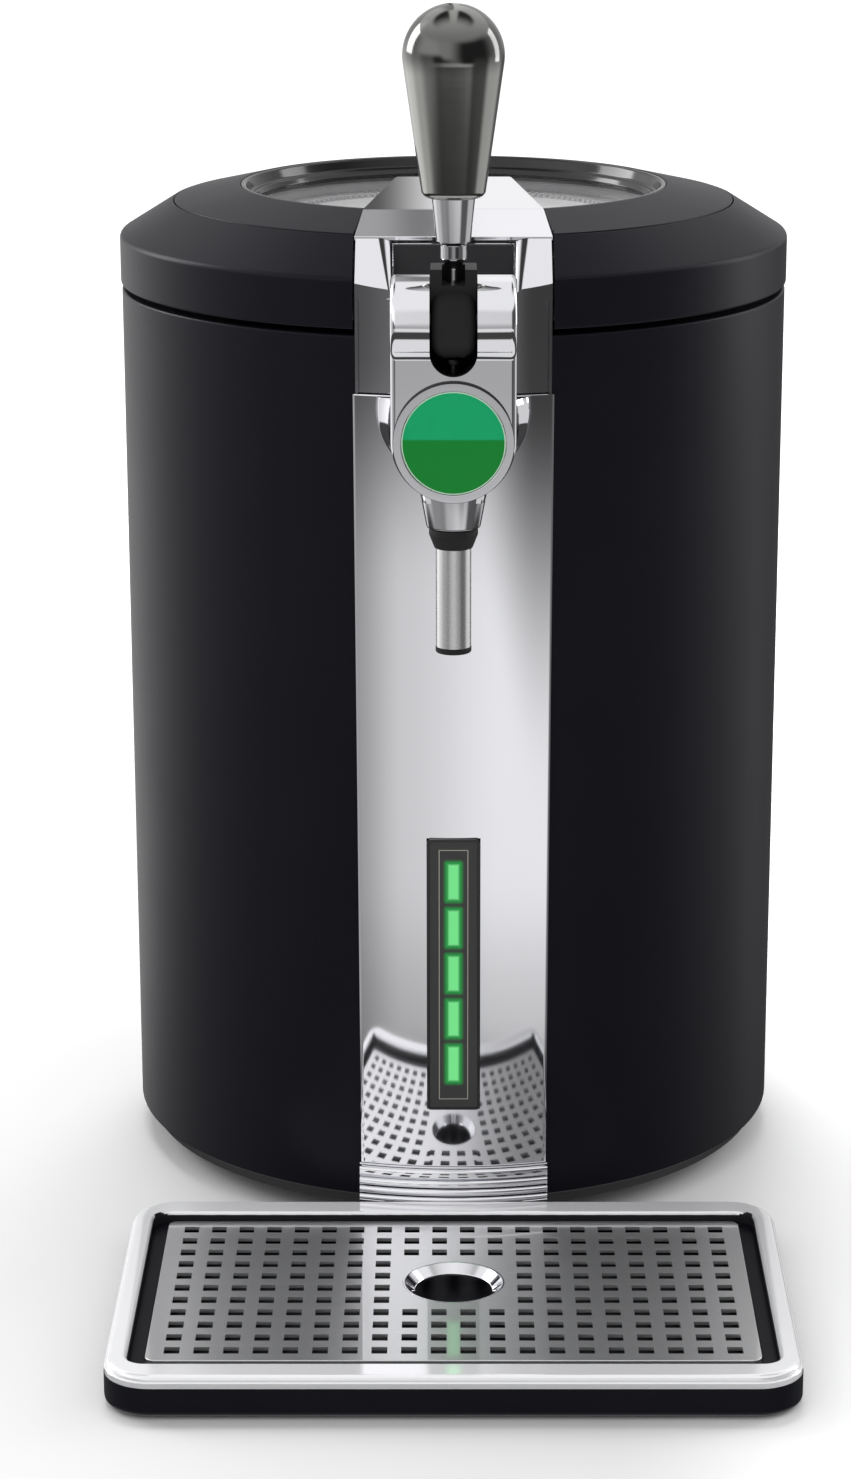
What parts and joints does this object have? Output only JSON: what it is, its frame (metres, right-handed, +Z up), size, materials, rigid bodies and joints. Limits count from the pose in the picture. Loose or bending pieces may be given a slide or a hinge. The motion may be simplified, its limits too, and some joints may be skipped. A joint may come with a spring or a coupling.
{
  "type": "mini keg beer dispenser",
  "caption": "Round insulated cabinet for a small beer keg, with a hinged lid, lever tap, level lights and a pull-out drip tray with a slotted grille.",
  "frame": {"origin": "centre of the object's bounding box, on the surface it stands on", "axes": "+Z up; -Y towards the person at the tap, so +Y is the back; +X to the right of someone facing the tap"},
  "size_m": [0.278, 0.468, 0.5007],
  "materials": {
    "satin_black": "satin",
    "matte_black": "matte",
    "gloss_black": "gloss",
    "rubber": "matte",
    "polished_chrome": "polished",
    "pewter_chrome": "polished",
    "badge_chrome": "polished",
    "brushed_steel": "satin",
    "liner_aluminium": "satin",
    "zinc_steel": "satin",
    "foam": "matte",
    "ceramic_white": "matte",
    "circuit_green": "satin",
    "display_grey": "satin",
    "light_green": "satin",
    "badge_green": "gloss",
    "window_grey": "polished",
    "deck_grey": "satin",
    "liner_grey": "satin"
  },
  "bodies": {
    "cabinet": {"base_pan": "satin_black", "rubber_feet": "rubber", "cabinet_shell": "satin_black", "top_collar": "satin_black", "keg_chamber": "liner_aluminium", "insulation_jacket": "foam", "cold_plate": "liner_aluminium", "cooling_module": "ceramic_white", "heat_sink": "liner_aluminium", "fan_frame": "matte_black", "rear_cover": "matte_black", "cover_screws": "zinc_steel", "power_inlet": "matte_black", "switch_frame": "gloss_black", "control_board": "circuit_green", "power_supply": "zinc_steel", "front_panel": "polished_chrome", "panel_foot": "polished_chrome", "display_bezel": "gloss_black", "display_lens": "display_grey", "level_lights": "light_green", "display_board": "circuit_green", "hinge_bracket": "matte_black", "hinge_pin": "zinc_steel", "tap_housing": "polished_chrome", "housing_backing": "matte_black", "tap_body": "polished_chrome", "badge_bezel": "badge_chrome", "badge_disc": "badge_green", "spout_collar": "rubber", "spout_tube": "brushed_steel", "spout_tip": "rubber", "lever_pin": "zinc_steel"},
    "lid": {"lid_shell": "satin_black", "lid_ring": "satin_black", "lid_lip": "gloss_black", "lid_window": "window_grey", "ribbed_disc": "deck_grey", "lid_liner": "liner_grey", "lid_foam": "foam", "lid_seal": "rubber", "lid_trim": "polished_chrome", "lid_hinge_arm": "matte_black"},
    "lever": {"lever_cam": "gloss_black", "lever_stem": "polished_chrome", "lever_handle": "pewter_chrome"},
    "plunger": {"valve_plunger": "brushed_steel"},
    "drip_tray": {"tray_base": "satin_black", "tray_feet": "rubber", "tray_rim": "polished_chrome"},
    "grille": {"tray_grille": "brushed_steel"},
    "fan": {"fan_rotor": "matte_black"},
    "rocker": {"power_rocker": "gloss_black"}
  },
  "joints": [
    {"name": "lid_hinge", "type": "hinge", "parent": "cabinet", "child": "lid", "pos_m": [0, 0.22185, 0.3796], "axis": [-1, 0, 0], "range_deg": [0, 95]},
    {"name": "lever_pivot", "type": "hinge", "parent": "cabinet", "child": "lever", "pos_m": [0, -0.09765, 0.3844], "axis": [1, 0, 0], "range_deg": [0, 45]},
    {"name": "plunger_slide", "type": "slide", "parent": "cabinet", "child": "plunger", "axis": [0, 0, -1], "range_m": [0, 0.0031]},
    {"name": "tray_slide", "type": "slide", "parent": "cabinet", "child": "drip_tray", "axis": [0, -1, 0], "range_m": [0, 0.045]},
    {"name": "grille_lift", "type": "slide", "parent": "drip_tray", "child": "grille", "axis": [0, 0, 1], "range_m": [0, 0.025]},
    {"name": "fan_spin", "type": "hinge", "parent": "cabinet", "child": "fan", "pos_m": [0, 0.21535, 0.2], "axis": [0, 1, 0], "continuous": true},
    {"name": "rocker_tilt", "type": "hinge", "parent": "cabinet", "child": "rocker", "pos_m": [-0.03, 0.22535, 0.064], "axis": [-1, 0, 0], "range_deg": [0, 16]}
  ],
  "couplings": [
    {"joint": "plunger_slide", "follows": "lever_pivot", "m_per_rad": 0.0038}
  ]
}
